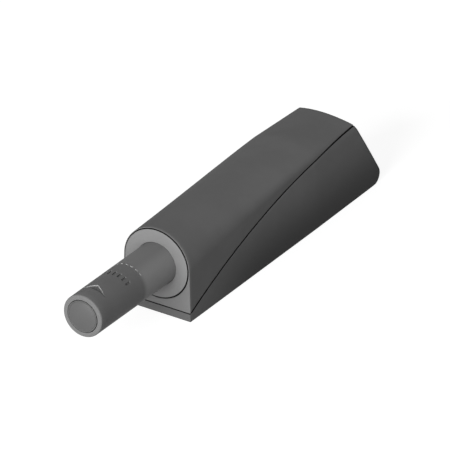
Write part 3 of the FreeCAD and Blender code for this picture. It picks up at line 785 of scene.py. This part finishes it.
def smoothed(piece, sharp=SMOOTH_ANGLE):
    only(piece)
    bpy.ops.object.shade_smooth_by_angle(angle=math.radians(sharp))


def finished(piece, node):
    """Smooths a piece, gives it its finish and puts it in the place of a node."""
    smoothed(piece)
    wear(piece, FINISHES[node])
    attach(piece, body_of_node(node))
    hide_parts(node)


# Housing

FORE_ROWS = 60
AFT_ROWS = 26
ROWS = FORE_ROWS + AFT_ROWS
ARCH_COLUMNS = 84
LOWER_COLUMNS = 14
SIDE_ROWS = 28
ROW_STEP = BREAK / FORE_ROWS
WALL_ROWS = round(FRONT_WALL / ROW_STEP)
LIP_ROWS = (1, ROWS - 1)
SIDE_EASE = 1.8


def skin_spot(row, spot_at, inset):
    """A point of a skin in one row: straight across in front of the break, fanned behind it."""
    if row <= FORE_ROWS:
        place = row * ROW_STEP
        x, z = spot_at(place)
        return x, place, z
    share = (row - FORE_ROWS) / AFT_ROWS
    place = BREAK
    for approach in range(APPROACHES):
        x, z = spot_at(place)
        place = blend(BREAK, tail_at(z, inset), share)
    return x, place, z


outlines = {}


def outline_at(place, inset):
    key = (round(place, 5), inset)
    if key not in outlines:
        outlines[key] = Outline(place, inset, 0.0 if inset else -FLOOR)
    return outlines[key]


def width_at(place, height, inset=0.0):
    """Half the width of the housing at a place and a height."""
    outline = outline_at(place, inset)
    return outline.at(outline.length_at(height))[0]


def cover_spot(inset):
    """Where a column of the cover's skin lies: from the right border over the crown to the left."""
    def spot(column, row):
        side = 1 if column <= 0.5 else -1
        share = 1 - abs(2 * column - 1)

        def at(place):
            outline = outline_at(place, inset)
            edge = parting(place) + PARTING_GAP
            start = outline.length_at(edge)
            x, z = outline.at(blend(start, sum(outline.lengths), share))
            return side * max(x, 0.0), max(z, edge)
        return skin_spot(row, at, inset)
    return spot


def circle_spot(radius, place, turn):
    return radius * math.cos(turn), place, AXIS + radius * math.sin(turn)


def arch_turn(spot, low):
    """The turn on the disc's circle that faces a spot of the arch."""
    x, place, z = spot
    if z >= AXIS:
        return math.atan2(z - AXIS, x)
    down = -math.pi / 4 * (AXIS - z) / (AXIS - low)
    return down if x > 0 else math.pi - down


def lower_x(column, wide, narrow):
    """Across the lower edge of the front wall: one rim column, the middle, one rim column."""
    step = round(column * LOWER_COLUMNS)
    if step == 0:
        return -wide
    if step == LOWER_COLUMNS:
        return wide
    return blend(-narrow, narrow, (step - 1) / (LOWER_COLUMNS - 2))


def behind_wall(share):
    """The row at a share of the way from the front wall's back to the rear end."""
    return WALL_ROWS + share * (ROWS - WALL_ROWS)


def cover_front(outer, inner):
    """The front wall: its face round the disc, the seat of the disc, the bore and the back."""
    low = parting(0.0) + PARTING_GAP
    back_half = inner(0.0, WALL_ROWS)[0]
    rim = outer(0.0, WALL_ROWS)[0] - back_half

    def lower_edge(column, place):
        wide = outer(0.0, place / ROW_STEP)[0]
        return lower_x(column, wide, wide - rim), place, parting(place) + PARTING_GAP

    def back_edge(column):
        return lower_x(column, back_half, back_half), FRONT_WALL, parting(FRONT_WALL) + PARTING_GAP

    def lower_turn(column):
        return -0.75 * math.pi + column * math.pi / 2
    steps = ((DISC_ROOM, 0.0), (DISC_ROOM, DISC_SEAT), (BARREL_ROOM, DISC_SEAT), (BARREL_ROOM, FRONT_WALL))
    pieces = []
    for columns, front, back, turn in (
            (ARCH_COLUMNS, lambda u: outer(u, 0), lambda u: inner(u, WALL_ROWS),
             lambda u: arch_turn(outer(u, 0), low)),
            (LOWER_COLUMNS, lambda u: lower_edge(u, 0.0), back_edge, lower_turn)):
        loops = [front]
        loops += [lambda u, r=radius, p=place, t=turn: circle_spot(r, p, t(u)) for radius, place in steps]
        loops.append(back)
        for first, second in zip(loops, loops[1:]):
            pieces.append(shaped_grid(columns, 1, lambda u, v: between(first(u), second(u), v)))
    pieces.append(shaped_grid(LOWER_COLUMNS, WALL_ROWS, lambda u, v: lower_edge(u, v * FRONT_WALL)))
    return pieces


def cover_tail(outer, inner):
    """The tail end: its face, then the narrow ledge under it."""
    edge = parting(LENGTH) + PARTING_GAP
    half = outer(0.0, ROWS)[0]

    def chord(column):
        return blend(half, -half, column), tail_at(edge, 0.0), edge
    return [
        shaped_grid(ARCH_COLUMNS, 1, lambda u, v: between(outer(u, ROWS), chord(u), v)),
        shaped_grid(ARCH_COLUMNS, 1, lambda u, v: between(chord(u), inner(u, ROWS), v)),
    ]


def make_cover():
    outer = cover_spot(0.0)
    inner = cover_spot(WALL)
    pieces = [
        shaped_grid(ARCH_COLUMNS, ROWS, lambda u, v: outer(u, v * ROWS)),
        shaped_grid(ARCH_COLUMNS, ROWS - WALL_ROWS, lambda u, v: inner(u, behind_wall(v))),
    ]
    # The rims along the parting line, right and left.
    for column in (0.0, 1.0):
        pieces.append(shaped_grid(1, ROWS - WALL_ROWS, lambda u, v: between(
            outer(column, behind_wall(v)), inner(column, behind_wall(v)), u)))
    cover = joined("cover", pieces + cover_tail(outer, inner) + cover_front(outer, inner))
    rounded(cover, COVER_ROUNDING)
    # The sockets for the two locating pegs of the base.
    for across in (-PEG_ACROSS, PEG_ACROSS):
        socket = rod(PEG_ROOM, (across, PEG_PLACE, 0.0), (across, PEG_PLACE, SOCKET_TOP))
        combined(cover, socket, "DIFFERENCE")
    for place in RIB_PLACES[-COVER_RIBS:]:
        low = parting(place + RIB_THICKNESS) + PARTING_GAP
        high = outline_at(place, WALL).top + COVER_RIB_SINK
        combined(cover, rib(place, low, high, 0, WALL - COVER_RIB_SINK), "UNION")
    edit(cover, fill)
    return cover


def base_spot(inset, right):
    """Where a point of the base's side lies, from the border down to the floor."""
    def spot(down, row):
        def at(place):
            outline = outline_at(place, inset)
            edge = parting(place)
            floor = min(FLOOR, edge) if inset else 0.0
            start = outline.length_at(edge)
            lower = 1 - (1 - down) ** SIDE_EASE
            x, z = outline.at(blend(start, outline.length_at(floor), lower))
            return (x if right else -x), z
        return skin_spot(row, at, inset)
    return spot


def make_lips():
    """Low lips on the rim of the base that close the parting gap from inside."""
    def side_lip(side):
        def spot(around, along):
            # Around the lip's four corners: low outside, low inside, high inside, high outside.
            corner = round(around * 4) % 4
            inset = LIP_INSET + (LIP_WIDTH if corner in (1, 2) else 0)
            rise = LIP_HEIGHT if corner in (2, 3) else -LIP_HEIGHT

            def at(place):
                edge = parting(place)
                return side * (width_at(place, edge) - inset), edge + rise
            return skin_spot(blend(*LIP_ROWS, along), at, 0.0)
        lip = shaped_grid(4, LIP_ROWS[1] - LIP_ROWS[0], spot)
        edit(lip, merge, fill, clean)
        return lip

    def cross_lip(place):
        wide = width_at(place, parting(place)) - (LIP_INSET + LIP_WIDTH / 2)

        def spot(a, b, c):
            along = place + b * LIP_WIDTH / 2
            return a * wide, along, parting(along) + c * LIP_HEIGHT
        return block(spot)
    rear = tail_at(parting(LENGTH), 0.0) - LIP_INSET - LIP_WIDTH / 2
    return [side_lip(1), side_lip(-1), cross_lip(LIP_FRONT), cross_lip(rear)]


def make_base():
    pieces = []
    sides = {}
    for inset in (0.0, WALL):
        right, left = base_spot(inset, True), base_spot(inset, False)
        sides[inset] = right, left
        pieces.append(shaped_grid(SIDE_ROWS, ROWS, lambda u, v: right(u, v * ROWS)))
        pieces.append(shaped_grid(SIDE_ROWS, ROWS, lambda u, v: left(u, v * ROWS)))
        pieces.append(shaped_grid(LOWER_COLUMNS, ROWS, lambda u, v: between(
            right(1.0, v * ROWS), left(1.0, v * ROWS), u)))
        pieces.append(shaped_grid(LOWER_COLUMNS, SIDE_ROWS, lambda u, v: between(
            right(v, ROWS), left(v, ROWS), u)))
    # The rims along the parting line, right and left, then the rim of the tail.
    for hand in (0, 1):
        pieces.append(shaped_grid(1, ROWS, lambda u, v: between(
            sides[0.0][hand](0.0, v * ROWS), sides[WALL][hand](0.0, v * ROWS), u)))
    pieces.append(shaped_grid(LOWER_COLUMNS, 1, lambda u, v: between(
        between(sides[0.0][0](0.0, ROWS), sides[0.0][1](0.0, ROWS), u),
        between(sides[WALL][0](0.0, ROWS), sides[WALL][1](0.0, ROWS), u), v)))
    base = joined("base", pieces)
    edit(base, close_openings, clean)
    rounded(base, BASE_ROUNDING)
    for lip in make_lips():
        combined(base, lip, "UNION")
    for place in RIB_PLACES:
        combined(base, rib(place, FLOOR - RIB_SINK, RIB_TOP, RIB_ROOM), "UNION")
    combined(base, rib(STOP_PLACE, FLOOR - RIB_SINK, AXIS, RIB_ROOM), "UNION")
    for across in (-PEG_ACROSS, PEG_ACROSS):
        peg = rod(PEG_RADIUS, (across, PEG_PLACE, PEG_FOOT), (across, PEG_PLACE, PEG_TOP))
        combined(base, peg, "UNION")
    sunk = FLOOR - (SCREW_HEAD - SCREW_HOLE)
    top = FLOOR + HEAD_PAST
    head = SCREW_HOLE + (top - sunk)
    for place in SCREW_PLACES:
        combined(base, rod(SCREW_HOLE, (0, place, -PAST), (0, place, FLOOR + PAST)), "DIFFERENCE")
        combined(base, rod(SCREW_HOLE, (0, place, sunk), (0, place, top), head=head), "DIFFERENCE")
    edit(base, fill)
    return base


def rib(place, low, high, side_room, inset=WALL):
    """A cross rib, cut out for the barrel unless it stands behind it."""
    def spot(a, b, c):
        y = place + (b + 1) / 2 * RIB_THICKNESS
        z = blend(low, high, (c + 1) / 2)
        return a * (width_at(y, max(z, 0.0), inset) - side_room), y, z
    plate = block(spot, RIB_CUTS)
    edit(plate, merge, clean)
    if place < STOP_PLACE:
        room = BARREL_ROOM if place < BARREL_STEP else BARREL_TAIL_ROOM
        rear = place + RIB_THICKNESS + PAST
        barrel = rod(room - SADDLE_FIT, (0, place - PAST, AXIS), (0, rear, AXIS), turned=True)
        combined(plate, barrel, "DIFFERENCE")
    return plate


# Pin

def rounded_tip():
    """The quarter round of the pin's front edge."""
    spots = []
    for step in range(TIP_STEPS + 1):
        turn = math.pi / 2 * step / TIP_STEPS
        inward = TIP_ROUNDING * (1 - math.sin(turn))
        back = TIP_ROUNDING * (1 - math.cos(turn))
        spots.append((PIN - inward, PIN_FRONT + back))
    return spots


def mark(angle, wide, front, length):
    """A cutter for one short mark across the top of the pin, turned from the top line."""
    def spot(a, b, c):
        radius = PIN + c * MARK_DEPTH
        turn = math.radians(angle + a * wide / 2)
        return radius * math.sin(turn), front + (b + 1) / 2 * length, AXIS + radius * math.cos(turn)
    return block(spot)


def arrow():
    """A cutter for the triangle that points to the housing, its floor parallel to the pin."""
    def spot(a, b, c):
        along = (b + 1) / 2
        x = a * ARROW_HALF * (1 - along)
        floor = math.sqrt((PIN - MARK_DEPTH) ** 2 - x * x)
        top = math.sqrt((PIN + ARROW_PAST) ** 2 - x * x)
        return x, ARROW_BASE + along * ARROW_LENGTH, AXIS + blend(floor, top, (c + 1) / 2)
    piece = block(spot, ARROW_CUTS)
    edit(piece, merge, clean)
    return piece


def make_pin():
    # Rings in front of each mark and behind it keep the skin's faces short.
    rings = [FIRST_RING]
    for front, long in ((ARROW_BASE, ARROW_LENGTH), (TICK_FRONT, TICK_LENGTH), (DASH_FRONT, DASH_WIDTH)):
        rings += [front - RING_GAP, front + long + RING_GAP]
    rings += LAST_RINGS
    pin = spun("pin", [(PIN_POCKET, PIN_FRONT)] + rounded_tip() + [(PIN, place) for place in rings] + [
        (PIN, PIN_REAR), (PIN_BORE, PIN_REAR), (PIN_BORE, PIN_WEB_REAR), (0, PIN_WEB_REAR),
        (0, PIN_POCKET_REAR), (PIN_POCKET, PIN_POCKET_REAR)])
    cutters = [arrow()]
    for step in range(-MARKS_EACH_SIDE, MARKS_EACH_SIDE + 1):
        cutters.append(mark(step * MARK_PITCH, DASH_ANGLE, DASH_FRONT, DASH_WIDTH))
        cutters.append(mark(step * MARK_PITCH, TICK_ANGLE, TICK_FRONT, TICK_LENGTH))
    combined(pin, joined("marks", cutters), "DIFFERENCE")
    return pin


def make_collar():
    collar = spun("collar", [
        (COLLAR_BORE, DISC_FRONT), (DISC_RADIUS, DISC_FRONT), (DISC_RADIUS, DISC_REAR),
        (COLLAR_SPIGOT, DISC_REAR), (COLLAR_SPIGOT, COLLAR_REAR), (COLLAR_BORE, COLLAR_REAR)])
    rounded(collar, COLLAR_ROUNDING)
    return collar


def shifted(piece):
    """The magnet sits a little off centre in the tip, together with its cup."""
    for vertex in piece.data.vertices:
        vertex.co.x += TIP_SHIFT[0] * MM
        vertex.co.z += TIP_SHIFT[1] * MM


def make_magnet():
    magnet = spun("magnet", [
        (0, MAGNET_FRONT), (MAGNET_SHOWN, MAGNET_FRONT), (MAGNET_SHOWN, MAGNET_REAR), (0, MAGNET_REAR)])
    rounded(magnet, MAGNET_ROUNDING)
    shifted(magnet)
    return magnet


def make_cup():
    inward, back = CUP_CHAMFER
    cup = spun("cup", [
        (CUP_BORE, MAGNET_FRONT), (CUP_RADIUS - inward, MAGNET_FRONT), (CUP_RADIUS, MAGNET_FRONT + back),
        (CUP_RADIUS, CUP_REAR), (0, CUP_REAR), (0, MAGNET_REAR), (CUP_BORE, MAGNET_REAR)])
    rounded(cup, CUP_ROUNDING)
    shifted(cup)
    return cup


def make_spring():
    """Round wire with closed end turns, between its seat and the plug."""
    low, high = SPRING_FRONT + WIRE, SPRING_REAR - WIRE
    end_pitch = 2 * WIRE + END_GAP
    pitch = (high - low - 2 * end_pitch) / (SPRING_TURNS - 2)
    sides, steps_a_turn, nudge = 10, 32, 0.002

    def middle_of(turn):
        open_turns = min(max(turn - 1, 0), SPRING_TURNS - 2)
        angle = 2 * math.pi * turn
        place = low + pitch * open_turns + end_pitch * (turn - open_turns)
        return Vector((SPRING_RADIUS * math.cos(angle), place, AXIS + SPRING_RADIUS * math.sin(angle)))

    def spot(around, along):
        turn = along * SPRING_TURNS
        middle = middle_of(turn)
        run = (middle_of(turn + nudge) - middle_of(turn - nudge)).normalized()
        out = (middle - Vector((0, middle.y, AXIS))).normalized()
        side = run.cross(out).normalized()
        out = side.cross(run)
        angle = 2 * math.pi * around
        return middle + WIRE * (out * math.cos(angle) + side * math.sin(angle))
    spring = shaped_grid(sides, SPRING_TURNS * steps_a_turn, spot)
    fresh("spring")
    edit(spring, merge, fill, clean)
    return spring


for node, item in frame["nodes"].items():
    for holder in item.material_slots:
        holder.material = FINISHES[node]

finished(make_base(), "base_shell")
finished(make_cover(), "cover_shell")
finished(make_collar(), "front_collar")
finished(make_pin(), "pin_tube")
finished(make_magnet(), "tip_magnet")
finished(make_cup(), "magnet_cup")

spring = make_spring()
smoothed(spring, SPRING_SMOOTH_ANGLE)
wear(spring, SPRING)
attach(spring, "housing")
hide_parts("ejector_spring")
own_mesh(spring)


# Floor, world and lamps

def make_floor():
    bpy.ops.mesh.primitive_plane_add(size=FLOOR_SIZE, location=(0, 0, 0))
    floor = bpy.context.object
    floor.name = "floor"
    finish = Finish("floor_white")
    path = finish.node("ShaderNodeLightPath").outputs
    seen = Level(finish, path["Is Camera Ray"])
    mirrored = Level(finish, path["Is Glossy Ray"]) + Level(finish, path["Is Transmission Ray"])
    lit = finish.node("ShaderNodeBsdfDiffuse", {}, {"Color": grey(FLOOR_SHADE)})
    lift = finish.node("ShaderNodeEmission", {}, {"Color": WHITE, "Strength": seen * FLOOR_LIFT})
    both = finish.node("ShaderNodeAddShader", {}, {0: lit.outputs[0], 1: lift.outputs[0]})
    white = finish.node("ShaderNodeEmission", {}, {"Color": WHITE, "Strength": 1.0})
    upper = finish.node("ShaderNodeMixShader", {}, {0: mirrored, 1: both.outputs[0], 2: white.outputs[0]})
    clear = finish.node("ShaderNodeBsdfTransparent")
    below = finish.node("ShaderNodeNewGeometry").outputs["Backfacing"]
    whole = finish.node("ShaderNodeMixShader", {}, {0: below, 1: upper.outputs[0], 2: clear.outputs[0]})
    finish.node("ShaderNodeOutputMaterial", {}, {"Surface": whole.outputs[0]})
    floor.data.materials.append(finish.material)


def make_world(level):
    world = bpy.data.worlds.new("studio")
    bpy.context.scene.world = world
    finish = Finish("studio", world)
    path = finish.node("ShaderNodeLightPath").outputs
    seen = Level(finish, path["Is Camera Ray"]) + Level(finish, path["Is Glossy Ray"])
    seen = seen + Level(finish, path["Is Transmission Ray"])
    soft = finish.node("ShaderNodeBackground", {}, {"Color": WHITE, "Strength": level})
    white = finish.node("ShaderNodeBackground", {}, {"Color": WHITE, "Strength": 1.0})
    both = finish.node("ShaderNodeMixShader", {}, {0: seen, 1: soft.outputs[0], 2: white.outputs[0]})
    finish.node("ShaderNodeOutputWorld", {}, {"Surface": both.outputs[0]})


def make_lamp(name, towards, strength, spread):
    """A soft lamp far away; towards points from the latch to the lamp."""
    lamp = bpy.data.lights.new(name, "SUN")
    lamp.energy = strength
    lamp.angle = math.radians(spread)
    item = bpy.data.objects.new(name, lamp)
    bpy.context.scene.collection.objects.link(item)
    item.rotation_euler = Vector(towards).to_track_quat("Z", "Y").to_euler()
    item.location = Vector(towards).normalized() * KEY_DISTANCE


make_floor()
make_world(WORLD_LEVEL)
make_lamp("key", KEY_TOWARDS, KEY_STRENGTH, KEY_SPREAD)


# Camera

camera = bpy.data.cameras.new("camera")
camera.lens = LENS
camera.sensor_width = SENSOR
camera.clip_start = 0.1
camera.clip_end = 10.0
viewer = bpy.data.objects.new("camera", camera)
bpy.context.scene.collection.objects.link(viewer)
viewer.rotation_mode = "QUATERNION"
viewer.location = TARGET + TOWARDS_CAMERA * (LENS / SENSOR * FRAME_WIDTH)
viewer.rotation_quaternion = TOWARDS_CAMERA.to_track_quat("Z", "Y")
bpy.context.scene.camera = viewer

bpy.context.scene.view_settings.view_transform = "Standard"
